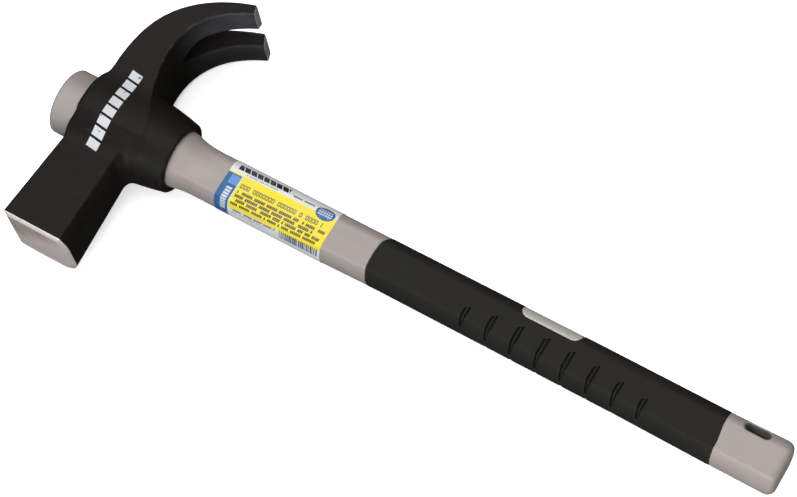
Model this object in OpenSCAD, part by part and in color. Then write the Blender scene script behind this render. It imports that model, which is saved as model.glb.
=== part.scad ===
// Formwork claw hammer with a jacketed glass-fibre handle.
// It lies on its cheek: +X runs from the head to the butt, -Y is the striking side,
// +Y the claw side and +Z the upper cheek. Z = 0 is the lowest point of the head.

/* [Handle] */
// Distance from the middle of the eye to the end of the butt
handle_reach = 371; // [320:1:420]
// Half width of the handle where it leaves the head
neck_half_w = 12.8; // [12.2:0.1:15]
// Half width of the handle at the butt
butt_half_w = 13.7; // [13:0.1:16]
// Half thickness of the handle where it leaves the head
neck_half_t = 9.7; // [9:0.1:11]
// Half thickness of the handle at the butt
butt_half_t = 11.6; // [10.5:0.1:12.5]
// How far the centres of the front and back arcs sit beyond the axis
arc_shift = 5.2; // [4:0.1:7]
// Radius on the end of the butt
butt_round = 4; // [2:0.5:6]
// Radius of the glass-fibre core
core_r = 7; // [6:0.1:7.4]

/* [Grip] */
// Where the rubber starts, from the middle of the eye
grip_start = 151.3; // [140:0.1:170]
// Length of the rubber
grip_len = 186.3; // [170:0.1:190]
// Thickness of the rubber over the jacket
grip_t = 2.2; // [1.6:0.1:2.4]
// Number of finger grooves
groove_count = 8; // [4:1:8]
// Distance from one groove to the next
groove_pitch = 13.62; // [11:0.01:14]
// Width of a groove
groove_w = 2.2; // [1.2:0.1:3]
// Depth of a groove
groove_depth = 0.8; // [0.4:0.1:1.2]
// Length of the window in the rubber on the claw side
window_len = 32.3; // [20:0.1:36]
// Length of the hang slot through the butt
hang_len = 15.8; // [12:0.1:18]
// Height of the hang slot
hang_h = 5.8; // [5:0.1:6]

/* [Head] */
// Distance from the eye axis to the middle of the striking face
poll_reach = 72.3; // [62:0.1:80]
// Width of the square striking face, from cheek to cheek
face_w = 37.2; // [34:0.1:40]
// Width of the poll where it leaves the eye, from cheek to cheek
poll_neck_w = 30.4; // [27:0.1:32]
// Width of the chamfers on the handle side of the poll
poll_chamfer = 7.3; // [4:0.1:8]
// Radius of the boss around the eye
boss_r = 22.8; // [21:0.1:25]
// Radius of the eye
eye_r = 15.8; // [15.3:0.1:16.2]
// Outer radius at the mouth of the collar
collar_r = 18.6; // [18:0.1:20]
// Distance from the middle of the eye to the mouth of the collar
collar_x = 38.5; // [34:0.1:42]
// Width of the claw at its tips
claw_w = 52.6; // [48:0.1:56]
// Width between the two claw tips
slot_w = 19.4; // [14:0.1:22]
// Radius at the root of the nail slot
slot_root_r = 1.6; // [1:0.1:3]

/* [Eye fittings] */
// Radius of the cap on top of the head
cap_r = 17.2; // [16.6:0.1:18]
// Height of the cap above the head
cap_h = 14; // [10:0.1:16]
// Radius on the rim of the cap
cap_round = 2.2; // [1:0.1:3]
// Thickness of the epoxy around the handle in the eye
bond_t = 0.8; // [0.5:0.1:1]

/* [Label] */
// Where the label starts, from the middle of the eye
label_start = 65.6; // [62:0.1:70]
// Length of the label
label_len = 60.7; // [50:0.1:70]
// Thickness of the label film
label_t = 0.25; // [0.2:0.05:0.4]

/* [Hidden] */
$fn = 96;
head_top = -15;
eye_y = 0.6;
neck_x = 60;
plug_r = eye_r - bond_t;
plug_top = head_top + 4;
seal_len = 4;
core_end = grip_start + grip_len - 2;
poll_neck_y = 22;
poll_top = [12.6, 17.8];
poll_under = [16.3, 18.1];
bevel_w = 2.2;
bevel_h = 2;
crown_w = 6;
crown_h = 0.7;
tip = [38.4, 81.2];
tip_inner = [38.4, 76.4];
slot_dir = 40;
slot_root = 38;
slot_tip = 79;
window_x = 227.2;
window_y = [6, 14.8];
hang_x = 344.5;
hang_y = 5.4;
groove_x0 = 204.6;
mid_x = (handle_reach + head_top - cap_h) / 2;
mid_y = (tip.y - poll_reach) / 2;
rest_z = claw_w / 2;

// Handle half width and half thickness at a distance x from the eye
function half_w(x) = neck_half_w + (butt_half_w - neck_half_w) * (x - neck_x) / (handle_reach - neck_x);
function half_t(x) = neck_half_t + (butt_half_t - neck_half_t) * (x - neck_x) / (handle_reach - neck_x);

// Point on a cubic curve at t
function curve_at(p, t) = pow(1 - t, 3) * p[0] + 3 * pow(1 - t, 2) * t * p[1]
    + 3 * (1 - t) * t * t * p[2] + pow(t, 3) * p[3];
function curve(p, n) = [for (i = [0 : n]) curve_at(p, i / n)];

// Outline of one side of a tapered bar: height h0 at x0 to h1 at x1, rounded by r at x1
function bar_edge(x0, h0, x1, h1, r) = concat([[h0, x0]],
    r == 0 ? [[h1, x1]]
           : [for (a = [0 : 15 : 90]) [h1 - r + r * cos(a), x1 - r + r * sin(a)]]);
function flip(p) = [for (q = p) [q.y, q.x]];
function mirror_back(p) = [for (i = [len(p) - 1 : -1 : 0]) [p[i].x, -p[i].y]];

// Turns a profile of [radius, x] about an axis along X
module about_x(y = 0)
    translate([0, y, 0]) rotate([0, 90, 0]) rotate_extrude() children();

// The handle between two places: flat cheeks, arched front and back
module oval_bar(x0, x1, inset = 0, round_end = 0) {
    w0 = half_w(x0) - inset + arc_shift;
    w1 = half_w(x1) - inset + arc_shift;
    side = bar_edge(x0, w0, x1, w1, round_end);
    cheek = flip(bar_edge(x0, half_t(x0) - inset, x1, half_t(x1) - inset, round_end));
    intersection() {
        about_x(arc_shift) polygon(concat([[0, x0]], side, [[0, x1]]));
        about_x(-arc_shift) polygon(concat([[0, x0]], side, [[0, x1]]));
        rotate([90, 0, 0]) linear_extrude(height = 60, center = true)
            polygon(concat(cheek, mirror_back(cheek)));
    }
}

// A slot with round ends, through the cheeks
module cheek_slot(x, y, len, h)
    translate([x + h / 2, y + h / 2, 0]) linear_extrude(height = 60, center = true)
        union() {
            circle(d = h);
            translate([len - h, 0]) circle(d = h);
            translate([0, -h / 2]) square([len - h, h]);
        }

// The space that the rubber takes: all round the thinner bar, except in the window
module grip_zone() {
    difference() {
        translate([grip_start, -30, -30]) cube([grip_len, 60, 60]);
        oval_bar(grip_start - 1, grip_start + grip_len + 1, grip_t);
        cheek_slot(window_x, window_y[0], window_len, window_y[1] - window_y[0]);
    }
}

// One edge of the poll from the eye to the face: h[0] at the neck, h[1] at the face
function poll_edge(h) = let(face_y = poll_reach - bevel_h - crown_h,
        slope = (h[1] - h[0]) / (face_y - poll_neck_y))
    [[4, h[0] - slope * (poll_neck_y - 4)], [face_y, h[1]],
     [face_y + bevel_h, h[1] - bevel_w], [poll_reach, h[1] - bevel_w - crown_w]];

// The poll: a square block that widens to the striking face
module poll() {
    under = poll_edge(poll_under);
    top = poll_edge(poll_top);
    cheek = poll_edge([poll_neck_w / 2, face_w / 2]);
    half = face_w / 2;
    rotate([0, 0, -90]) intersection() {
        linear_extrude(height = 60, center = true) polygon(concat(under, mirror_back(top)));
        rotate([90, 0, 0]) linear_extrude(height = 60, center = true)
            polygon(concat(cheek, mirror_back(cheek)));
        rotate([90, 0, 90]) linear_extrude(height = 100)
            polygon([[poll_under[1], -half + poll_chamfer], [poll_under[1], half - poll_chamfer],
                [poll_under[1] - 3.3, half], [-poll_top[1] + 1, half],
                [-poll_top[1], half - 1], [-poll_top[1], -half + 1],
                [-poll_top[1] + 1, -half], [poll_under[1] - 3.3, -half]]);
    }
}

// The claw before it is split: curved in side view, flaring in width
module claw_blank() {
    outer = curve([[-11.5, 20], [-10.8, 49.1], [3.5, 70.7], tip], 14);
    inner = curve([[13, 20], [6.5, 44.8], [11.2, 61.8], tip_inner], 14);
    w = claw_w / 2;
    flare = [[4, w - 7.6], [20, w - 6.8], [38, w - 4.2], [51, w - 1.5], [62, w - 0.5],
             [74, w], [tip.y + 1, w]];
    intersection() {
        linear_extrude(height = 80, center = true)
            polygon(concat([[-11.5, 4]], outer,
                [for (i = [14 : -1 : 0]) inner[i]], [[13, 4]]));
        rotate([0, 0, 90]) rotate([90, 0, 0]) linear_extrude(height = 120, center = true)
            polygon(concat(flare, mirror_back(flare)));
        rotate([90, 0, 0]) linear_extrude(height = 200, center = true)
            polygon([[-30, -w - 1], [tip.x - 2, -w - 1], [tip.x, -w + 17], [tip.x, w - 17],
                [tip.x - 2, w + 1], [-30, w + 1]]);
    }
}

// The V that splits the claw, cut square to its run
module nail_slot() {
    rotate([0, 0, slot_dir]) rotate([-90, 0, 0]) translate([0, 0, 15])
        linear_extrude(height = 70) union() {
            translate([slot_root, 0]) circle(r = slot_root_r);
            polygon([[slot_root, -slot_root_r], [slot_tip + 10, -slot_w / 2 - 2],
                [slot_tip + 10, slot_w / 2 + 2], [slot_root, slot_root_r]]);
        }
}

module head() {
    color([0.16, 0.15, 0.13]) difference() {
        union() {
            about_x(eye_y) polygon([[0, head_top], [boss_r - 1.2, head_top],
                [boss_r, head_top + 1.2], [boss_r + 0.2, 12], [boss_r - 0.5, 20.5],
                [boss_r - 2.4, 29], [collar_r, collar_x - 1], [collar_r - 0.8, collar_x],
                [0, collar_x]]);
            poll();
            claw_blank();
        }
        about_x(eye_y) polygon([[0, head_top - 1], [eye_r, head_top - 1],
            [eye_r, collar_x + 1], [0, collar_x + 1]]);
        nail_slot();
    }
}

module core_rod() {
    color([0.85, 0.8, 0.55]) translate([plug_top, 0, 0]) rotate([0, 90, 0])
        cylinder(r = core_r, h = core_end - plug_top);
}

module jacket() {
    color([0.71, 0.67, 0.65]) difference() {
        union() {
            about_x(eye_y) polygon([[0, plug_top], [plug_r, plug_top], [plug_r, collar_x + 1],
                [13.3, collar_x + 5], [11.4, collar_x + 11], [9.7, collar_x + 20],
                [0, collar_x + 24]]);
            oval_bar(collar_x + 1, handle_reach, 0, butt_round);
        }
        grip_zone();
        translate([plug_top - 1, 0, 0]) rotate([0, 90, 0])
            cylinder(r = core_r, h = core_end - plug_top + 1);
        cheek_slot(hang_x, hang_y, hang_len, hang_h);
    }
}

module grip() {
    top = [-2.4, -0.2, 0.9, 1.6, 1.4, 0.7, -0.8, -2.8];
    color([0.19, 0.185, 0.17]) difference() {
        intersection() {
            oval_bar(grip_start - 1, grip_start + grip_len + 1);
            grip_zone();
        }
        for (i = [0 : groove_count - 1]) {
            x = groove_x0 + i * groove_pitch;
            gap = 4.2 - top[i] / 2 + 0.6;
            difference() {
                for (s = [-1, 1])
                    translate([x - groove_w / 2, -20, s > 0 ? gap : -gap - 14])
                        cube([groove_w, 20 + top[i], 14]);
                oval_bar(x - 4, x + 4, groove_depth);
            }
        }
    }
}

module eye_cap() {
    cap_top = head_top - cap_h;
    color([0.69, 0.65, 0.63]) about_x(eye_y) polygon(concat([[0, cap_top]],
        [for (a = [0 : 15 : 90]) [cap_r - cap_round + cap_round * sin(a),
            cap_top + cap_round - cap_round * cos(a)]],
        [[cap_r, head_top], [plug_r, head_top], [plug_r, plug_top], [0, plug_top]]));
}

module eye_bond() {
    color([0.8, 0.72, 0.5]) about_x(eye_y) polygon([[plug_r, head_top], [eye_r, head_top],
        [eye_r, collar_x - seal_len], [plug_r, collar_x - seal_len]]);
}

module eye_seal() {
    color([0.08, 0.08, 0.08]) about_x(eye_y) polygon([[plug_r, collar_x - seal_len],
        [eye_r, collar_x - seal_len], [eye_r, collar_x - 0.4], [plug_r, collar_x - 0.4]]);
}

module label() {
    color([0.97, 0.9, 0.2]) difference() {
        oval_bar(label_start, label_start + label_len, -label_t);
        oval_bar(label_start - 1, label_start + label_len + 1);
        translate([label_start - 2, -3, -20]) cube([label_len + 4, 6, 20]);
    }
}

module placed() translate([-mid_x, -mid_y, rest_z]) children();

placed() head();
placed() core_rod();
placed() jacket();
placed() grip();
placed() eye_cap();
placed() eye_bond();
placed() eye_seal();
placed() label();
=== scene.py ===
import math

import bmesh
import bpy
import numpy as np
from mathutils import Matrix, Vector


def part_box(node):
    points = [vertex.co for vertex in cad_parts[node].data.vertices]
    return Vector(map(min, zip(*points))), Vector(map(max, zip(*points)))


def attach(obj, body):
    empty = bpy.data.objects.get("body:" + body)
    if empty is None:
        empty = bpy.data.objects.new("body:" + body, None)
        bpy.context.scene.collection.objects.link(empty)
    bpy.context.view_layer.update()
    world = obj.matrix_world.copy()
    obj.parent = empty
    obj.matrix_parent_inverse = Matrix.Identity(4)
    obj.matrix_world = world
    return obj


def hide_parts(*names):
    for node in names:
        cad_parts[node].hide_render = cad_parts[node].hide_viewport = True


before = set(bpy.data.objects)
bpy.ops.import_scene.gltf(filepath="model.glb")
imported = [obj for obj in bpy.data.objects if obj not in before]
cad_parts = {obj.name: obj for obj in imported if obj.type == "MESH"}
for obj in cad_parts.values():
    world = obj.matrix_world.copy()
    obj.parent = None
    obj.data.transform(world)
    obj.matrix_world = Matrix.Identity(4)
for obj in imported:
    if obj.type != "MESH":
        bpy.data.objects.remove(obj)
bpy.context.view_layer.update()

# ---------------------------------------------------------------- frame
# Shapes are written in millimetres about the eye: x runs down the handle, y to the claw side,
# z to the upper cheek. place() takes them to the row frame, in metres.
MM = 0.001
BUTT_X = 371.0
EYE_Y = 0.6
cap_lo, cap_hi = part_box("eye_cap")
_, jacket_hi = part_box("jacket")
ORIGIN = np.array([jacket_hi.x - BUTT_X * MM, (cap_lo.y + cap_hi.y) / 2 - EYE_Y * MM,
                   (cap_lo.z + cap_hi.z) / 2])


def place(p):
    return ORIGIN + np.asarray(p, float) * MM


def link(ob):
    bpy.context.scene.collection.objects.link(ob)
    return ob


# ---------------------------------------------------------------- camera, floor, light
CAMERA_AT = (508.67, -374.02, 1237.43)
CAMERA_TURN = (22.314, 4.983, 30.48)
CAMERA_LENS = 125.31
WARM, COOL = (1, 0.985, 0.965), (0.95, 0.98, 1)
# How bright the sky is: two ramps (axis, from low, high, to low, high), multiplied
SKY_RAMPS = (("Z", (0.25, 0.9, 0.03, 1.2)), ("X", (0.0, 0.7, 1.0, 0.25)))

camera_data = bpy.data.cameras.new("camera")
camera = link(bpy.data.objects.new("camera", camera_data))
camera.location = place(CAMERA_AT)
camera.rotation_euler = [math.radians(a) for a in CAMERA_TURN]
camera_data.lens = CAMERA_LENS
camera_data.sensor_width = 36
bpy.context.scene.camera = camera
bpy.context.scene.view_settings.view_transform = "Standard"


def area_light(name, power, size, location, target, colour):
    data = bpy.data.lights.new(name, "AREA")
    data.shape = "DISK"
    data.energy = power
    data.size = size
    data.color = colour
    ob = link(bpy.data.objects.new(name, data))
    ob.location = location
    ob.rotation_euler = (Vector(target) - Vector(location)).to_track_quat("-Z", "Y").to_euler()


area_light("key_light", 8.8, 1.0, (-0.24, 0.06, 1.03), (-0.08, 0, 0), WARM)
area_light("fill_light", 14, 0.9, (0.0, -1.25, 0.45), (0, 0, 0), COOL)
area_light("end_light", 0.9, 0.3, (0.42, -0.18, 0.12), (0.19, 0, 0.02), WARM)
world = bpy.data.worlds.new("studio")
bpy.context.scene.world = world
world.use_nodes = True
sky = world.node_tree
sky_way = sky.nodes.new("ShaderNodeSeparateXYZ")
sky.links.new(sky.nodes.new("ShaderNodeTexCoord").outputs["Generated"], sky_way.inputs["Vector"])
strength = sky.nodes.new("ShaderNodeMath")
strength.operation = "MULTIPLY"
for slot, (axis, ends) in enumerate(SKY_RAMPS):
    sky_ramp = sky.nodes.new("ShaderNodeMapRange")
    for key, v in zip(("From Min", "From Max", "To Min", "To Max"), ends):
        sky_ramp.inputs[key].default_value = v
    sky.links.new(sky_way.outputs[axis], sky_ramp.inputs["Value"])
    sky.links.new(sky_ramp.outputs["Result"], strength.inputs[slot])
sky.links.new(strength.outputs[0], sky.nodes["Background"].inputs["Strength"])
sky.nodes["Background"].inputs["Color"].default_value = (1, 1, 1, 1)


# ---------------------------------------------------------------- shader helpers
class Value:
    """A number socket that ordinary arithmetic works on."""

    def __init__(self, tree, socket):
        self.tree, self.socket = tree, socket

    def math(self, operation, other=None, third=None):
        node = self.tree.nodes.new("ShaderNodeMath")
        node.operation = operation
        self.tree.links.new(self.socket, node.inputs[0])
        for i, v in ((1, other), (2, third)):
            if isinstance(v, Value):
                self.tree.links.new(v.socket, node.inputs[i])
            elif v is not None:
                node.inputs[i].default_value = v
        return Value(self.tree, node.outputs[0])

    def __add__(self, other): return self.math("ADD", other)
    def __sub__(self, other): return self.math("SUBTRACT", other)
    def __mul__(self, other): return self.math("MULTIPLY", other)
    def __truediv__(self, other): return self.math("DIVIDE", other)
    def __gt__(self, other): return self.math("GREATER_THAN", other)
    def __lt__(self, other): return self.math("LESS_THAN", other)
    def floor(self): return self.math("FLOOR")
    def frac(self): return self.math("FRACT")
    def size(self): return self.math("ABSOLUTE")
    def larger(self, other): return self.math("MAXIMUM", other)
    def power(self, other): return self.math("POWER", other)
    def between(self, low, high): return (self > low) * (self < high)

    def ramp(self, low, high, out_low=0.0, out_high=1.0):
        node = self.tree.nodes.new("ShaderNodeMapRange")
        node.interpolation_type = "SMOOTHSTEP"
        self.tree.links.new(self.socket, node.inputs["Value"])
        for key, v in (("From Min", low), ("From Max", high), ("To Min", out_low),
                       ("To Max", out_high)):
            node.inputs[key].default_value = v
        return Value(self.tree, node.outputs["Result"])


class Material:
    """A node material around one Principled shader."""

    def __init__(self, name, **sockets):
        self.material = bpy.data.materials.new(name)
        self.material.use_nodes = True
        self.tree = self.material.node_tree
        self.shader = self.tree.nodes["Principled BSDF"]
        for key, v in sockets.items():
            self.shader.inputs[key.replace("_", " ")].default_value = v
        self.place = self.add("ShaderNodeTexCoord").outputs["Object"]
        self.normal = None

    def add(self, kind):
        return self.tree.nodes.new(kind)

    def stretch(self, scale, turn=(0, 0, 0)):
        node = self.add("ShaderNodeMapping")
        self.tree.links.new(self.place, node.inputs["Vector"])
        node.inputs["Scale"].default_value = scale
        node.inputs["Rotation"].default_value = turn
        return node.outputs["Vector"]

    def noise(self, scale, detail=3.0, rough=0.55, vector=None):
        node = self.add("ShaderNodeTexNoise")
        self.tree.links.new(vector or self.place, node.inputs["Vector"])
        for key, v in (("Scale", scale), ("Detail", detail), ("Roughness", rough)):
            node.inputs[key].default_value = v
        return Value(self.tree, node.outputs["Fac"])

    def cells(self, scale):
        node = self.add("ShaderNodeTexVoronoi")
        self.tree.links.new(self.place, node.inputs["Vector"])
        node.inputs["Scale"].default_value = scale
        return Value(self.tree, node.outputs["Distance"])

    def chance(self, vector):
        node = self.add("ShaderNodeTexWhiteNoise")
        self.tree.links.new(vector, node.inputs["Vector"])
        return Value(self.tree, node.outputs["Value"])

    def attribute(self, name):
        node = self.add("ShaderNodeAttribute")
        node.attribute_name = name
        return node

    def drawn(self, name):
        """A value that field_mesh stored on the points."""
        return Value(self.tree, self.attribute(name).outputs["Fac"])

    def split(self, vector):
        node = self.add("ShaderNodeSeparateXYZ")
        self.tree.links.new(vector, node.inputs["Vector"])
        return [Value(self.tree, o) for o in node.outputs]

    def millimetres(self):
        """x, y and z in the millimetres that the shapes are written in."""
        return [(v - float(start)) / MM for v, start in zip(self.split(self.place), ORIGIN)]

    def join(self, x, y):
        node = self.add("ShaderNodeCombineXYZ")
        for socket, v in zip(node.inputs, (x, y)):
            if isinstance(v, Value):
                self.tree.links.new(v.socket, socket)
            else:
                socket.default_value = v
        return node.outputs["Vector"]

    def mix(self, amount, a, b):
        node = self.add("ShaderNodeMix")
        node.data_type = "RGBA"
        self.tree.links.new(amount.socket, node.inputs["Factor"])
        for index, v in ((6, a), (7, b)):
            if isinstance(v, tuple):
                node.inputs[index].default_value = (*v, 1)
            else:
                self.tree.links.new(v, node.inputs[index])
        return node.outputs[2]

    def bump(self, height, distance):
        node = self.add("ShaderNodeBump")
        node.inputs["Strength"].default_value = 1.0
        node.inputs["Distance"].default_value = distance
        self.tree.links.new(height.socket, node.inputs["Height"])
        if self.normal is not None:
            self.tree.links.new(self.normal, node.inputs["Normal"])
        self.normal = node.outputs["Normal"]

    def finish(self, colour, roughness):
        inputs = self.shader.inputs
        self.tree.links.new(colour, inputs["Base Color"])
        self.tree.links.new(roughness.socket, inputs["Roughness"])
        if self.normal is not None:
            self.tree.links.new(self.normal, inputs["Normal"])
        return self.material


# ---------------------------------------------------------------- signed distance shapes
def smax(a, b, k):
    """The larger of two fields, with the edge where they meet rounded by about k."""
    h = np.maximum(k - np.abs(a - b), 0) / k
    return np.maximum(a, b) + h * h * k * 0.25


def smin(a, b, k):
    return -smax(-a, -b, k)


def side(u, v, p, q):
    """Signed distance to the line from p to q, positive on its right."""
    du, dv = q[0] - p[0], q[1] - p[1]
    return ((u - p[0]) * dv - (v - p[1]) * du) / math.hypot(du, dv)


def plane(at, normal, *point):
    """Signed distance to a plane, positive on the side of its unit normal."""
    return sum((v - a) * n for v, a, n in zip(point, at, normal))


def bezier(p, steps=36):
    p = np.array(p, float)
    t = np.linspace(0, 1, steps + 1)[:, None]
    return ((1 - t) ** 3 * p[0] + 3 * (1 - t) ** 2 * t * p[1]
            + 3 * (1 - t) * t ** 2 * p[2] + t ** 3 * p[3])


def along(u, v, points):
    """Distance to an open curve, positive on its left, and the arc length of the nearest point."""
    best = position = sign = None
    start = 0.0
    for (u0, v0), (u1, v1) in zip(points[:-1], points[1:]):
        du, dv = u1 - u0, v1 - v0
        length = math.hypot(du, dv)
        f = np.clip(((u - u0) * du + (v - v0) * dv) / length ** 2, 0, 1)
        d = np.hypot(u - u0 - f * du, v - v0 - f * dv)
        left = du * (v - v0) - dv * (u - u0)
        if best is None:
            best, position, sign = d, start + f * length, left
        else:
            nearer = d < best
            position = np.where(nearer, start + f * length, position)
            sign = np.where(nearer, left, sign)
            best = np.where(nearer, d, best)
        start += length
    return np.where(sign > 0, best, -best), position


def extended(points, low, high):
    """A curve with a straight run of the given lengths added at each end."""
    a = points[0] + (points[0] - points[1]) / np.linalg.norm(points[0] - points[1]) * low
    b = points[-1] + (points[-1] - points[-2]) / np.linalg.norm(points[-1] - points[-2]) * high
    return np.vstack([a, points, b])


def smooth_table(xs, ys, blur, step=0.25):
    """A table of straight runs, resampled finely with its corners smoothed over blur."""
    fine = np.arange(xs[0] - 4 * blur, xs[-1] + 4 * blur, step)
    low = ys[0] + (fine - xs[0]) * (ys[1] - ys[0]) / (xs[1] - xs[0])
    high = ys[-1] + (fine - xs[-1]) * (ys[-1] - ys[-2]) / (xs[-1] - xs[-2])
    value = np.where(fine < xs[0], low, np.where(fine > xs[-1], high, np.interp(fine, xs, ys)))
    kernel = np.exp(-0.5 * (np.arange(-3 * blur, 3 * blur + 0.1, step) / blur) ** 2)
    inner = np.convolve(value, kernel / kernel.sum(), "same")
    keep = (fine > xs[0]) & (fine < xs[-1])
    return fine[keep], inner[keep]


def stadium(u, v, u0, v0, length, height):
    """Signed distance to a slot with round ends, whose near lower corner is u0, v0."""
    r = height / 2
    du = np.abs(u - u0 - length / 2) - (length / 2 - r)
    return np.hypot(np.maximum(du, 0), v - v0 - r) - r


# ---------------------------------------------------------------- from a field to a mesh
def spaced(*runs):
    """Grid positions: (start, end, step) runs joined end to end."""
    out = [np.array([runs[0][0]])]
    for a, b, step in runs:
        n = max(1, int(round((b - a) / step)))
        out.append(np.linspace(a, b, n + 1)[1:])
    return np.concatenate(out)


# How points are drawn onto a surface, and how far around them an edge is felt, in millimetres
DRAW_STEPS, SLOPE_REACH, LEAST_SLOPE, LONGEST_MOVE = 3, 0.02, 0.05, 0.3
EDGE_REACH = 0.5


def field_mesh(name, field, gx, gy, gz, mark=None):
    """The surface where the field is zero, as quads (naive surface nets), then drawn onto it.

    The points also get an "edge" value, above 0 on outer edges and below 0 in inner corners, and
    a "mark" value where one is asked for."""
    grid = field(gx[:, None, None], gy[None, :, None], gz[None, None, :])
    inside = grid < 0
    n = tuple(s - 1 for s in grid.shape)
    offsets = [(i, j, k) for i in (0, 1) for j in (0, 1) for k in (0, 1)]

    def corner(a, o):
        return a[o[0]:o[0] + n[0], o[1]:o[1] + n[1], o[2]:o[2] + n[2]]

    count = sum(corner(inside, o).astype(np.int8) for o in offsets)
    active = (count > 0) & (count < 8)
    cell = np.nonzero(active)
    index = np.full(n, -1, np.int64)
    index[cell] = np.arange(len(cell[0]))
    values = {o: grid[cell[0] + o[0], cell[1] + o[1], cell[2] + o[2]] for o in offsets}
    places = {o: np.stack([gx[cell[0] + o[0]], gy[cell[1] + o[1]], gz[cell[2] + o[2]]], 1)
              for o in offsets}
    total = np.zeros((len(cell[0]), 3))
    hits = np.zeros(len(cell[0]))
    for a in offsets:
        for axis in range(3):
            if a[axis]:
                continue
            b = tuple(v + (i == axis) for i, v in enumerate(a))
            fa, fb = values[a], values[b]
            cut = (fa < 0) != (fb < 0)
            t = np.where(cut, fa / np.where(cut, fa - fb, 1), 0)[:, None]
            total += np.where(cut[:, None], places[a] + t * (places[b] - places[a]), 0)
            hits += cut
    points = total / hits[:, None]

    quads = []
    for axis in range(3):
        u, v = [(1, 2), (2, 0), (0, 1)][axis]
        lo = [slice(1, -1)] * 3
        hi = [slice(1, -1)] * 3
        lo[axis], hi[axis] = slice(0, -1), slice(1, None)
        changed = np.nonzero(inside[tuple(lo)] != inside[tuple(hi)])
        at = [c + (i != axis) for i, c in enumerate(changed)]

        def cell_at(du, dv):
            p = list(at)
            p[u], p[v] = at[u] - 1 + du, at[v] - 1 + dv
            return index[tuple(p)]

        ring = np.stack([cell_at(0, 0), cell_at(1, 0), cell_at(1, 1), cell_at(0, 1)], 1)
        outward = inside[tuple(at)]
        ring[~outward] = ring[~outward][:, ::-1]
        quads.append(ring)
    quads = np.concatenate(quads)

    for _ in range(DRAW_STEPS):
        g = np.stack([(field(*(points + e).T) - field(*(points - e).T)) / (2 * SLOPE_REACH)
                      for e in np.eye(3) * SLOPE_REACH], 1)
        f = field(*points.T)
        move = f[:, None] * g / np.maximum((g * g).sum(1), LEAST_SLOPE)[:, None]
        length = np.linalg.norm(move, axis=1, keepdims=True)
        points = points - move * np.minimum(1, LONGEST_MOVE / np.maximum(length, 1e-9))

    bend = sum(field(*(points + s * e).T) for e in np.eye(3) * EDGE_REACH for s in (-1, 1))
    bend = np.clip((bend - 6 * field(*points.T)) / EDGE_REACH ** 2 * 0.5, -1, 1)

    mesh = bpy.data.meshes.new(name)
    mesh.from_pydata(place(points).tolist(), [], quads.tolist())
    mesh.attributes.new("edge", "FLOAT", "POINT").data.foreach_set(
        "value", bend.astype(np.float32))
    if mark is not None:
        mesh.attributes.new("mark", "FLOAT", "POINT").data.foreach_set(
            "value", mark(*points.T).astype(np.float32))
    mesh.shade_smooth()
    mesh.update()
    return link(bpy.data.objects.new(name, mesh))


def cut_off(ob, name, point, normal):
    """Cuts a closed piece in two closed pieces at a plane. The new one is on the normal's side."""
    point, normal = Vector(place(point)), Vector(normal).normalized()
    other = link(bpy.data.objects.new(name, ob.data.copy()))
    for piece, direction in ((ob, normal), (other, -normal)):
        bm = bmesh.new()
        bm.from_mesh(piece.data)
        result = bmesh.ops.bisect_plane(
            bm, geom=bm.verts[:] + bm.edges[:] + bm.faces[:], dist=1e-7, plane_co=point,
            plane_no=direction, clear_outer=True)
        rim = [e for e in result["geom_cut"] if isinstance(e, bmesh.types.BMEdge)]
        bmesh.ops.holes_fill(bm, edges=rim, sides=0)
        for e in rim:
            e.smooth = False
        bm.to_mesh(piece.data)
        bm.free()
    return other


def lathe(name, profile, segments=128):
    """Turns a closed profile of (radius, x) about the eye axis. Ends on the axis are shared."""
    bm = bmesh.new()
    rings = []
    for r, x in profile:
        if r == 0:
            rings.append([bm.verts.new(place((x, EYE_Y, 0)))] * segments)
            continue
        rings.append([bm.verts.new(place((x, EYE_Y + r * math.cos(a), r * math.sin(a))))
                      for a in np.linspace(0, 2 * math.pi, segments, endpoint=False)])
    for a, b in zip(rings[:-1], rings[1:]):
        for i in range(segments):
            j = (i + 1) % segments
            corners = []
            for v in (a[i], a[j], b[j], b[i]):
                if v not in corners:
                    corners.append(v)
            if len(corners) > 2:
                bm.faces.new(corners)
    bmesh.ops.recalc_face_normals(bm, faces=bm.faces[:])
    mesh = bpy.data.meshes.new(name)
    bm.to_mesh(mesh)
    bm.free()
    mesh.shade_smooth()
    mesh.set_sharp_from_angle(angle=math.radians(40))
    return link(bpy.data.objects.new(name, mesh))


# ---------------------------------------------------------------- the head
EYE_R, BOSS_R, BOSS_TOP = 15.8, 22.8, -15
COLLAR_X = 38.5
COLLAR = ((22.9, 17), (18.6, COLLAR_X))
# The poll between its root and the start of the face: straight walls, as pairs of points
ROOT_Y, FACE_Y = -22, -69.6
UNDER = ((18.5, FACE_Y), (16.8, ROOT_Y))
TOP = ((-13.8, ROOT_Y), (-16.9, FACE_Y))
CHEEK = ((18.6, FACE_Y), (15.2, ROOT_Y))
CHAMFER_AT = (18.5, FACE_Y, 11.3)
CHAMFER_N = np.array([347.5, 18, 157.1]) / 381.8
POLL_GROWTH = 0.55
# The face: a bevel, then a shallow crown, then flat. Each is a rise over a run.
BEVEL_RISE, BEVEL_RUN, BEVEL_LENGTH = 1.0, 1.2, 1.562
CROWN_RISE, CROWN_RUN, CROWN_LENGTH = 2.5, 7.4, 7.811
FACE_REACH = 3.7
# The claw: its outer and inner curves, with straight runs added, and the plane of its tips
LEAD_IN, LEAD_OUT = 26, 8
OUTER = extended(bezier([(-11.5, 20), (-11.2, 49.1), (3.0, 71.8), (38.6, 81.6)]),
                 LEAD_IN, LEAD_OUT)
INNER = extended(bezier([(13, 20), (6.2, 45.4), (11.0, 64.2), (38.4, 75.8)]), LEAD_IN, LEAD_OUT)
TIP_AT = (38.3, 77.0, 0)
TIP_N = (0.954, 0.300, 0)
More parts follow.
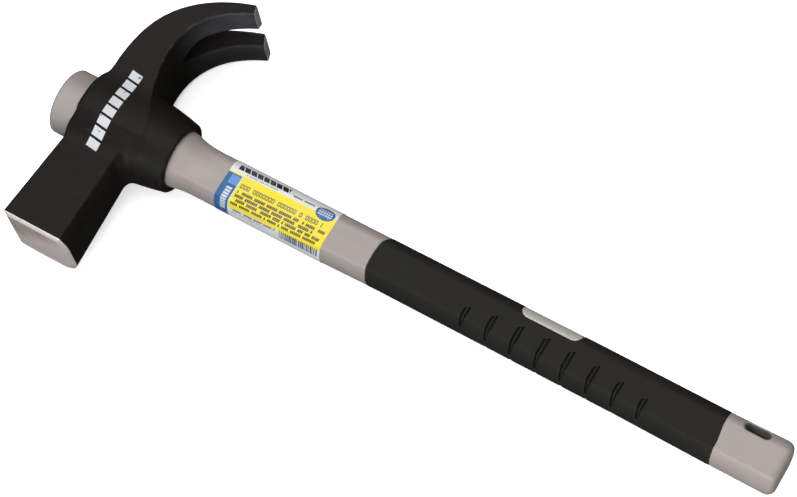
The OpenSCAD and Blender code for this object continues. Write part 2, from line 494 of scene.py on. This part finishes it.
# Half width of the claw from cheek to cheek, along y
FLARE = smooth_table([-10, 4, 20, 38, 51, 62, 74, 90],
                     [18.2, 18.7, 19.5, 22.1, 24.8, 25.8, 26.3, 26.3], 5)
# Half width of the nail slot along the claw, at its inner and outer surfaces
SLOT_IN = smooth_table([10, 20, 24, 26, 28, 30, 35, 40, 48, 55, 68, 76],
                       [-12, -4, -1.6, 0.9, 2.5, 4, 7, 8.5, 9, 9.1, 9.8, 9.8], 1.2)
SLOT_OUT = smooth_table([10, 30, 38, 41, 46, 50, 58, 68, 76],
                        [-15, -6, -1.2, 0.8, 3.2, 4.6, 5.1, 5.0, 4.9], 1.5)


def head_field(x, y, z):
    az = np.abs(z)
    r = np.hypot(y - EYE_Y, z)
    wall = smax(r - BOSS_R, side(r, x, *COLLAR), 3)
    boss = smax(smax(wall, BOSS_TOP - x, 2.4), x - COLLAR_X, 1.2)

    walls = smax(side(x, y, *UNDER), plane(CHAMFER_AT, CHAMFER_N, x, y, az), 1.3)
    walls = smax(smax(walls, side(az, y, *CHEEK), 1.2), side(x, y, *TOP), 1.2) - POLL_GROWTH
    ahead = FACE_Y - y
    bevel = (BEVEL_RISE * walls + BEVEL_RUN * ahead) / BEVEL_LENGTH
    crown = (CROWN_RISE * (walls + BEVEL_RUN) + CROWN_RUN * (ahead - BEVEL_RISE)) / CROWN_LENGTH
    face = smax(smax(bevel, crown, 1.0), ahead - FACE_REACH, 2.4)
    poll = smax(smax(walls, face, 0.5), y - 6, 2)

    outer, _ = along(x, y, OUTER)
    inner, s = along(x, y, INNER)
    inner = -inner
    s = s - LEAD_IN
    across = np.abs(outer) / (np.abs(outer) + np.abs(inner) + 1e-6)
    claw = smax(smax(outer, inner, 0.7), az - np.interp(y, *FLARE), 1.0)
    claw = smax(claw, plane(TIP_AT, TIP_N, x, y), 0.7)
    claw = np.maximum(claw, -2 - y)
    body = smin(smin(boss, poll, 5.5), claw, 6)

    half = (1 - across) * np.interp(s, *SLOT_OUT) + across * np.interp(s, *SLOT_IN)
    body = smax(body, (half - az) * 0.94, 1.0)
    return smax(body, EYE_R - r, 0.7)


def inner_face(x, y, z):
    """1 within 0.3 mm of the claw's concave face, fading to 0 at 0.8 mm."""
    off, _ = along(x, y, INNER)
    return np.clip(1.6 - np.abs(off) / 0.5, 0, 1)


HEAD_STEP = 0.6
head = field_mesh("head_forging", head_field, spaced((-19.8, 40.2, HEAD_STEP)),
                  spaced((-74.4, 84, HEAD_STEP)), spaced((-27.9, 27.9, HEAD_STEP)), inner_face)
face_steel = cut_off(head, "striking_face_steel", (0, FACE_Y + 0.15, 0), (0, -1, 0))
tips = cut_off(head, "claw_tip_steel", np.array(TIP_AT) - np.array(TIP_N) * 0.3, TIP_N)

# ---------------------------------------------------------------- the handle
ARC = 5.2
NECK_X = 60
CORE_R = 7
PLUG = (-11, 68)
GRIP = (151.3, 337.6)
GRIP_T = 2.2
# Slots: start along x, lower edge in y, length, height
WINDOW = (227.2, 6.0, 32.3, 8.8)
HANG = (345.8, 6.0, 14.3, 5.6)
# Radius of the round plug and of the flare that runs out of the collar
FLARE_OUT = smooth_table([-20, 37, 41, 45, 49, 54, 60, 75],
                         [15, 15, 14.5, 13.1, 11.8, 10.6, 9.3, 6], 1.5)


def half_w(x):
    return 12.8 + 0.9 * (x - NECK_X) / (BUTT_X - NECK_X)


def half_t(x):
    return 9.7 + 1.9 * (x - NECK_X) / (BUTT_X - NECK_X)


def bar(x, y, z):
    """The handle's outside: flat cheeks, arched front and back."""
    reach = half_w(x) + ARC
    front = np.interp(x, (60, 130, 158, 290, 335, 371), (0, 0.2, 0.8, 0.8, 0.25, 0.1))
    back = np.interp(x, (60, 270, 335, 371), (0.25, 0.35, 0.7, 0.3))
    arches = np.maximum(np.hypot(y - ARC, z) + front, np.hypot(y + ARC, z) + back) - reach
    return smax(arches, np.abs(z) - half_t(x), 0.6 + 5.0 * np.clip((y - 2) / 9, 0, 1))


def grip_ends(x, y):
    """How far a point is beyond the rubber's two ends, which are slightly arched."""
    front = (GRIP[0] - 0.8 + 0.9 * np.minimum(((y + 1) / 9) ** 2, 2)
             + 1.2 * np.clip((y - 6) / 6, 0, 1))
    back = GRIP[1] + 1.2 * np.clip((3 - y) / 8, 0, 1)
    return np.maximum(front - x, x - back)


def jacket_field(x, y, z):
    r = np.hypot(y - EYE_Y, z)
    outside = bar(x, y, z)
    body = smax(smax(outside, 39 - x, 1), x - BUTT_X - 0.3, 4.8)
    radius = np.interp(x, *FLARE_OUT)
    plug = smax(smax(r - radius, PLUG[0] - x, 0.8), x - PLUG[1], 1)
    body = smin(body, plug, 2.5)
    zone = np.maximum(grip_ends(x, y), -(outside + GRIP_T))
    zone = np.maximum(zone, -stadium(x, y, *WINDOW))
    body = smax(body, -zone, 0.4)
    draft = 1.5 - 0.13 * np.abs(z)
    body = smax(body, -stadium(x, y, *HANG) - draft, 0.9)
    bore = np.maximum(np.hypot(y, z) - CORE_R, x - (GRIP[1] - 2))
    return np.maximum(body, -bore)


# The grooves: where each one is along x, and where it ends in y
GROOVE_START, GROOVE_PITCH = 204.6, 13.62
GROOVE_TOP = [-2.4, -0.2, 0.9, 1.6, 1.4, 0.7, -0.8, -2.8]
GROOVE_X = [GROOVE_START + GROOVE_PITCH * i for i in range(len(GROOVE_TOP))]
GROOVE_SPREAD = [2.2, 2.2, 2] + [2.2] * 5
# Runs that need a fine grid: the rubber's ends, the window's ends and the grooves
JACKET_FINE = [(-12.2, -9.8), (36, 64), (149.4, 155.4), (225.6, 261.1), (334, 372.2)]
GRIP_FINE = sorted([(149.2, 155.4), (226, 229.8), (256, 261), (336, 340.2)]
                   + [(g - h, g + h) for g, h in zip(GROOVE_X, GROOVE_SPREAD)])


def grip_field(x, y, z):
    az = np.abs(z)
    outside = bar(x, y, z) - 0.12
    shell = smax(outside, -(outside + GRIP_T), 0.3)
    shell = smax(shell, grip_ends(x, y) + 0.1, 0.7)
    shell = smax(shell, 0.12 - stadium(x, y, *WINDOW), 0.6)
    for gx, top in zip(GROOVE_X, GROOVE_TOP):
        u = np.abs(x - gx)
        gap = 2.9 - top / 2
        low = np.clip((-7 - y) / 5, 0, 1)
        half = 1.5 - 0.8 * low
        cut = smax(smax(u - half, y - top - 0.5 * (x - gx), 1.2), gap - az, 1.2)
        rib = np.clip((0.6 - u) / 0.3, 0, 1)
        depth = 1.3 - 0.95 * rib * (1 - low)
        cut = smax(cut, -(outside + depth), 0.3)
        shell = smax(shell, -cut, 0.35)
    return shell


def fine_near(lo, hi, coarse, fine, spots):
    """Grid positions with a fine step inside the spots and a coarse one between them."""
    runs, at = [], lo
    for a, b in spots:
        if a > at:
            runs.append((at, a, coarse))
        runs.append((max(a, at), b, fine))
        at = b
    if at < hi:
        runs.append((at, hi, coarse))
    return spaced(*runs)


jacket = field_mesh("handle_jacket", jacket_field, fine_near(-12.2, 372.2, 1.6, 0.5, JACKET_FINE),
                    spaced((-15.6, 15.6, 0.6)), spaced((-15.6, 15.6, 0.6)))
grip = field_mesh("rubber_grip", grip_field, fine_near(149.2, 340.2, 1.2, 0.36, GRIP_FINE),
                  spaced((-14.9, 14.9, 0.5)), spaced((-12.6, 12.6, 0.5)))

# ---------------------------------------------------------------- the cap
CAP_TOP, CAP_R, CAP_ROUND, CAP_DISH = -30, 17.2, 2.2, 0.4
cap_rim = [(CAP_R - CAP_ROUND + CAP_ROUND * math.sin(a),
            CAP_TOP + CAP_ROUND - CAP_ROUND * math.cos(a)) for a in np.linspace(0, math.pi / 2, 9)]
cap = lathe("eye_cap_moulded",
            [(0, CAP_TOP + CAP_DISH), (13.6, CAP_TOP + CAP_DISH), (13.9, CAP_TOP), *cap_rim,
             (CAP_R, -15.4), (17.05, -15.0), (15, -15.0), (15, -11), (0, -11)])

# ---------------------------------------------------------------- the label
LABEL_X = (66.0, 126.4)
LABEL_WRAP = 37.4
LABEL_OUTSIDE, LABEL_INSIDE = 0.2, 0.03


def section(x, v, lift):
    """A point on the handle at x, v millimetres round from the middle of the upper cheek."""
    w, t = half_w(x) + lift, half_t(x) + lift
    reach = w + ARC
    a = math.asin(t / reach)
    flat = reach * math.cos(a) - ARC
    s, q = (1 if v > 0 else -1), abs(v)
    quarter = flat + reach * a
    if q > quarter:
        p = section(x, s * (2 * quarter - q), lift)
        return (p[0], p[1], -p[2])
    if q < flat:
        return (x, s * q, t)
    th = a - (q - flat) / reach
    return (x, s * (reach * math.cos(th) - ARC), reach * math.sin(th))


def label_sheet():
    """A thin closed sheet, with its u and v in millimetres stored on the points."""
    bm = bmesh.new()
    layer = bm.verts.layers.float_vector.new("sheet")
    us = np.linspace(*LABEL_X, 62)
    vs = np.linspace(-LABEL_WRAP, LABEL_WRAP, 141)
    start = np.array([section(u, v, 0.1) for u in us for v in vs])
    grids = []
    for lift in (LABEL_OUTSIDE, LABEL_INSIDE):
        points = start
        for _ in range(DRAW_STEPS):
            slope = np.stack([(bar(*(points + e).T) - bar(*(points - e).T)) / (2 * SLOPE_REACH)
                              for e in np.eye(3) * SLOPE_REACH], 1)
            points = points - (bar(*points.T) - lift)[:, None] * slope
        points[:, 0] = start[:, 0]
        grid = []
        for p, (u, v) in zip(place(points), ((u, v) for u in us for v in vs)):
            vert = bm.verts.new(p)
            vert[layer] = (u, v, 0)
            grid.append(vert)
        grids.append([grid[i * len(vs):(i + 1) * len(vs)] for i in range(len(us))])
    top, bottom = grids
    for i in range(len(us) - 1):
        for j in range(len(vs) - 1):
            bm.faces.new((top[i][j], top[i + 1][j], top[i + 1][j + 1], top[i][j + 1]))
            bm.faces.new((bottom[i][j + 1], bottom[i + 1][j + 1], bottom[i + 1][j], bottom[i][j]))
    last_u, last_v = len(us) - 1, len(vs) - 1
    for i in range(last_u):
        bm.faces.new((top[i + 1][0], top[i][0], bottom[i][0], bottom[i + 1][0]))
        bm.faces.new((top[i][last_v], top[i + 1][last_v], bottom[i + 1][last_v], bottom[i][last_v]))
    for j in range(last_v):
        bm.faces.new((top[0][j], top[0][j + 1], bottom[0][j + 1], bottom[0][j]))
        bm.faces.new((top[last_u][j + 1], top[last_u][j], bottom[last_u][j], bottom[last_u][j + 1]))
    bmesh.ops.recalc_face_normals(bm, faces=bm.faces[:])
    mesh = bpy.data.meshes.new("label_sheet")
    bm.to_mesh(mesh)
    bm.free()
    mesh.shade_smooth()
    mesh.set_sharp_from_angle(angle=math.radians(50))
    return link(bpy.data.objects.new("label_sheet", mesh))


label = label_sheet()


# ---------------------------------------------------------------- materials
def head_paint():
    """Satin black enamel over a forging, with a row of plain printed blocks on the upper cheek, a
    painted bluish reflection on the claw's inner face, and edge wear that is partly a painted edge
    highlight.
    """
    m = Material("head_paint", Specular_IOR_Level=0.08)
    edge = m.drawn("edge")
    blotch = m.noise(45, 4)
    grain = m.noise(900, 3, 0.6)
    colour = m.mix(blotch.ramp(0.3, 0.7), (0.0052, 0.0046, 0.0035), (0.0072, 0.0065, 0.0050))
    scratch = m.noise(1, 2, 0.5, m.stretch((90, 900, 90), (0.3, 0.2, 0.9))).ramp(0.70, 0.76)
    scratch = scratch * m.noise(30, 2).ramp(0.5, 0.62) * 0.35
    # Lighter outer edges: partly paint worn through, partly a painted edge highlight; the scratches
    # are real wear.
    wear_and_edge_highlight = (edge.ramp(0.12, 0.55) * m.noise(220, 4, 0.65).ramp(0.45, 0.62) * 0.15).larger(scratch)
    colour = m.mix(wear_and_edge_highlight, colour, (0.10, 0.095, 0.09))
    x, y, z = m.millimetres()
    # Painted reflection: a pale bluish sheen on the claw's concave inner face, near the tips.
    scuff_and_painted_sheen = m.drawn("mark") * y.ramp(40, 68)
    colour = m.mix(scuff_and_painted_sheen * blotch.ramp(0.2, 0.7, 0.4, 1), colour, (0.048, 0.049, 0.052))
    run = (y + x * 0.12 + 20.4) / 5.65
    band = x - y * 0.015
    blocks = run.between(0, 8) * (run.frac() < 0.78) * band.between(-1.6, 4.9) * (z > 0.0)
    blocks = blocks * m.noise(500, 3).ramp(0.25, 0.36)
    colour = m.mix(blocks, colour, (0.42, 0.44, 0.46))
    m.bump(m.noise(150, 3), 0.00018)
    m.bump(grain, 0.00005)
    rough = blotch.ramp(0.25, 0.75, 0.42, 0.56) + grain.ramp(0.3, 0.7, -0.03, 0.04)
    return m.finish(colour, rough)


def bare_steel(name, base, lines):
    """Ground steel with fine lines, pits, and painted shade: darker and browner toward the near
    side of the face, in place of a dimmer reflection there.
    """
    m = Material(name, Metallic=0.45)
    streak = m.noise(1, 4, 0.6, m.stretch(lines))
    cloud = m.noise(70, 3)
    colour = m.mix(streak.ramp(0.3, 0.7), tuple(c * 0.88 for c in base), base)
    colour = m.mix(cloud.ramp(0.55, 0.8) * 0.35, colour, tuple(c * 0.7 for c in base))
    pit = m.cells(420).ramp(0.06, 0.02) * m.noise(160, 2).ramp(0.5, 0.6) * 0.5
    colour = m.mix(pit, colour, (0.08, 0.06, 0.05))
    x, y, z = m.millimetres()
    # Painted shade: the face darkens and browns toward its near, upper side, standing in for a
    # dimmer reflection.
    painted_reflection_shade = (y < -70.9) * (z - x * 0.4).ramp(2, 18)
    colour = m.mix(painted_reflection_shade * cloud.ramp(0.2, 0.7, 0.5, 0.75), colour, (0.11, 0.09, 0.08))
    m.bump(streak, 0.00004)
    return m.finish(colour, streak.ramp(0.2, 0.8, 0.36, 0.5) + cloud.ramp(0.3, 0.8, 0, 0.08))


def grey_plastic():
    """Moulded grey plastic, with painted light making the window of the grip paler and painted
    shade in its inner corners.
    """
    m = Material("grey_plastic", Specular_IOR_Level=0.35)
    edge = m.drawn("edge")
    blotch = m.noise(25, 4)
    flow = m.noise(1, 3, 0.5, m.stretch((20, 160, 160)))
    colour = m.mix(blotch.ramp(0.3, 0.7), (0.226, 0.199, 0.187), (0.250, 0.222, 0.209))
    colour = m.mix(flow.ramp(0.5, 0.75) * 0.25, colour, (0.205, 0.180, 0.168))
    speck = m.cells(300).ramp(0.09, 0.04) * m.noise(90, 2).ramp(0.55, 0.65) * 0.35
    colour = m.mix(speck, colour, (0.12, 0.10, 0.09))
    x, y, _ = m.millimetres()
    # Painted light: the window on the claw side is made paler, as if it caught more light.
    lit_window = x.between(226, 261) * (y > 5.5)
    colour = m.mix(lit_window, colour, (0.34, 0.322, 0.304))
    # Painted shade: inner corners, creases and recesses are darkened.
    painted_crease_shade = (edge * -1.0).ramp(0.03, 0.4) * 0.5
    colour = m.mix(painted_crease_shade, colour, (0.09, 0.08, 0.072))
    m.bump(m.noise(1100, 3, 0.6), 0.00003)
    m.bump(m.noise(60, 2), 0.00012)
    return m.finish(colour, blotch.ramp(0.3, 0.7, 0.46, 0.58))


def grip_rubber():
    """Matte black rubber, dusty on its edges, with painted shade darkening its grooves."""
    m = Material("grip_rubber", Specular_IOR_Level=0.1)
    edge = m.drawn("edge")
    blotch = m.noise(38, 4, 0.6)
    grain = m.noise(1500, 2, 0.6)
    colour = m.mix(blotch.ramp(0.3, 0.7), (0.0094, 0.0090, 0.0077), (0.0126, 0.0119, 0.0101))
    dust = m.noise(260, 5, 0.7).ramp(0.6, 0.8) * 0.12
    colour = m.mix(dust.larger(edge.ramp(0.3, 0.9) * 0.06), colour, (0.07, 0.068, 0.062))
    # Painted shade: grooves and inner corners darkened nearly to black.
    colour = m.mix((edge * -1.0).ramp(0.02, 0.35) * 0.9, colour, (0.003, 0.003, 0.0025))
    m.bump(grain, 0.00008)
    m.bump(m.cells(700), 0.00004)
    return m.finish(colour, blotch.ramp(0.3, 0.7, 0.62, 0.78))


def simple(name, low, high, rough, scale, fine):
    m = Material(name)
    blotch = m.noise(scale, 4)
    m.bump(m.noise(fine, 3), 0.00005)
    return m.finish(m.mix(blotch.ramp(0.3, 0.7), low, high), blotch.ramp(0.3, 0.7, *rough))


def glass_fibre():
    m = Material("glass_fibre")
    strand = m.noise(1, 4, 0.7, m.stretch((12, 1600, 1600)))
    m.bump(strand, 0.00008)
    return m.finish(m.mix(strand.ramp(0.35, 0.65), (0.55, 0.48, 0.24), (0.78, 0.72, 0.45)),
                    strand.ramp(0.3, 0.7, 0.3, 0.5))


def label_print():
    """Printed film with plain bars and blocks: u runs along the handle, v around it."""
    m = Material("label_film", Specular_IOR_Level=0.2)
    u, v, _ = m.split(m.attribute("sheet").outputs["Vector"])
    v = v - (u - 96.0) * 0.021
    white, black = (0.50, 0.51, 0.52), (0.012, 0.012, 0.014)
    yellow, blue, pale_blue = (0.60, 0.50, 0.010), (0.002, 0.072, 0.22), (0.07, 0.19, 0.42)

    def dashes(cell, seed, word=7.3, gap=0.05):
        """Short marks with gaps where words would part."""
        index = (u / cell).floor()
        here = m.chance(m.join(index, seed))
        mark = (u / cell).frac().between(0.06, 0.94)
        return mark * (here > gap) * (((index + seed * 2.7) / word).frac() > 1.0 / word)

    def row(middle, height, start, end, cell, seed):
        return ((v - middle).size() < height / 2) * u.between(start, end) * dashes(cell, seed)

    colour = m.mix(v.between(-13.4, 4.9), white, yellow)
    title = v.between(6.9, 10.6) * u.between(69.6, 98.4)
    title = title * ((u + v * 0.35) / 3.6).frac().between(0.0, 0.86)
    colour = m.mix(title, colour, black)
    # Rows of bars: middle, height, start, end, cell, seed, ink
    for *where, ink in (
            (5.9, 0.7, 75, 93, 0.8, 3, 0.6), (6.9, 1.0, 101, 113, 0.9, 5, 0.8),
            (-3.7, 1.6, 75.4, 124.6, 1.0, 7, 0.92), (-5.9, 1.6, 75.2, 119, 1.0, 11, 0.92),
            (-8.1, 1.6, 75.0, 124, 1.0, 13, 0.92), (-10.3, 1.6, 75.0, 124, 1.0, 17, 0.92),
            (-14.4, 1.2, 76.5, 101, 0.8, 19, 0.9), (-16.3, 0.8, 76.5, 96, 0.7, 23, 0.6)):
        colour = m.mix(row(*where) * ink, colour, black)
    outline = ((v + 0.35).size() < 1.25) * u.between(75, 121.5) * dashes(1.75, 29)
    inner = ((v + 0.35).size() < 0.65) * (u / 1.75).frac().between(0.36, 0.66)
    colour = m.mix(outline * 0.9, colour, (0.09, 0.08, 0.015))
    colour = m.mix(outline * inner, colour, (0.62, 0.54, 0.06))
    colour = m.mix((u < 73.6) * (v < 4.1), colour, blue)
    colour = m.mix(u.between(68.4, 73.6) * v.between(-1.6, 3.4), colour, pale_blue)
    stripes = u.between(69.3, 72.4) * v.between(-17, -3) * ((v * 0.62).frac() > 0.26)
    colour = m.mix(stripes * 0.85, colour, white)
    colour = m.mix(u.between(73.6, 74.2) * (v < 4.9), colour, (0.45, 0.50, 0.40))
    disc = ((u - 119.7) / 5.2).power(2) + ((v - 5.6) / 3.7).power(2)
    colour = m.mix(disc < 1.0, colour, blue)
    marks = (disc < 0.62) * ((v - 5.6).size() < 1.9) * ((v * 0.8).frac() > 0.42)
    marks = marks * ((u / 1.3).frac() > 0.25)
    colour = m.mix(marks * 0.85, colour, white)
    bar_cell = u / 1.1
    bars = bar_cell.frac() < (m.chance(m.join(bar_cell.floor(), 2.0)) * 0.45 + 0.33)
    colour = m.mix(bars * u.between(103.4, 125.4) * v.between(-18.6, -13.1), colour, black)
    fade = m.noise(60, 4).ramp(0.35, 0.75) * 0.12
    colour = m.mix(fade, colour, (0.36, 0.35, 0.31))
    scuff_and_painted_sheen = m.noise(1, 3, 0.6, m.stretch((400, 90, 90), (0, 0, 0.5))).ramp(0.66, 0.74) * 0.3
    colour = m.mix(scuff_and_painted_sheen, colour, (0.5, 0.49, 0.46))
    m.bump(m.noise(70, 2), 0.00008)
    m.bump(m.noise(1300, 2), 0.00001)
    return m.finish(colour, m.noise(90, 3).ramp(0.3, 0.7, 0.28, 0.42))


FACE_STEEL = bare_steel("bare_steel_face", (0.62, 0.55, 0.52), (60, 60, 2600))
TIP_STEEL = bare_steel("bare_steel_tips", (0.45, 0.43, 0.385), (200, 200, 1800))
PLASTIC = grey_plastic()
EPOXY = simple("epoxy_bond", (0.42, 0.34, 0.16), (0.55, 0.46, 0.24), (0.2, 0.35), 90, 500)
SEAL = simple("seal_rubber", (0.010, 0.010, 0.010), (0.018, 0.017, 0.016), (0.6, 0.75), 120, 1300)

for piece, material, slot, node in (
        (head, head_paint(), "head_paint", "head"),
        (face_steel, FACE_STEEL, "bare_steel", "head"),
        (tips, TIP_STEEL, "bare_steel", "head"),
        (jacket, PLASTIC, "grey_plastic", "jacket"),
        (grip, grip_rubber(), "grip_rubber", "grip"),
        (cap, PLASTIC, "grey_plastic", "eye_cap"),
        (label, label_print(), "label_film", "label")):
    piece.data.materials.clear()
    piece.data.materials.append(material)
    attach(piece, "root")
    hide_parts(node)

for node, material in (("core_rod", glass_fibre()), ("eye_bond", EPOXY), ("eye_seal", SEAL)):
    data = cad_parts[node].data
    data.materials.clear()
    data.materials.append(material)

# ---------------------------------------------------------------- the floor
FLOOR_DROP, FLOOR_GLOW = 0.0002, 0.5
floor_mesh = bpy.data.meshes.new("floor")
bm = bmesh.new()
bmesh.ops.create_grid(bm, x_segments=4, y_segments=4, size=4)
bm.to_mesh(floor_mesh)
bm.free()
floor = link(bpy.data.objects.new("floor", floor_mesh))
floor.location.z = -FLOOR_DROP
floor_look = Material("pale_floor", Specular_IOR_Level=0.1)
cloud = floor_look.noise(3, 2)
pale = floor_look.mix(cloud.ramp(0.3, 0.7), (0.87, 0.87, 0.87), (0.9, 0.9, 0.9))
# Pale where it is seen, dark where it would throw light back up at the hammer
seen = Value(floor_look.tree, floor_look.add("ShaderNodeLightPath").outputs["Is Camera Ray"])
pale = floor_look.mix(seen, (0.07, 0.07, 0.07), pale)
floor_look.shader.inputs["Emission Color"].default_value = (1, 1, 1, 1)
floor_look.tree.links.new((seen * FLOOR_GLOW).socket, floor_look.shader.inputs["Emission Strength"])
floor_mesh.materials.append(floor_look.finish(pale, cloud.ramp(0.3, 0.7, 0.7, 0.8)))
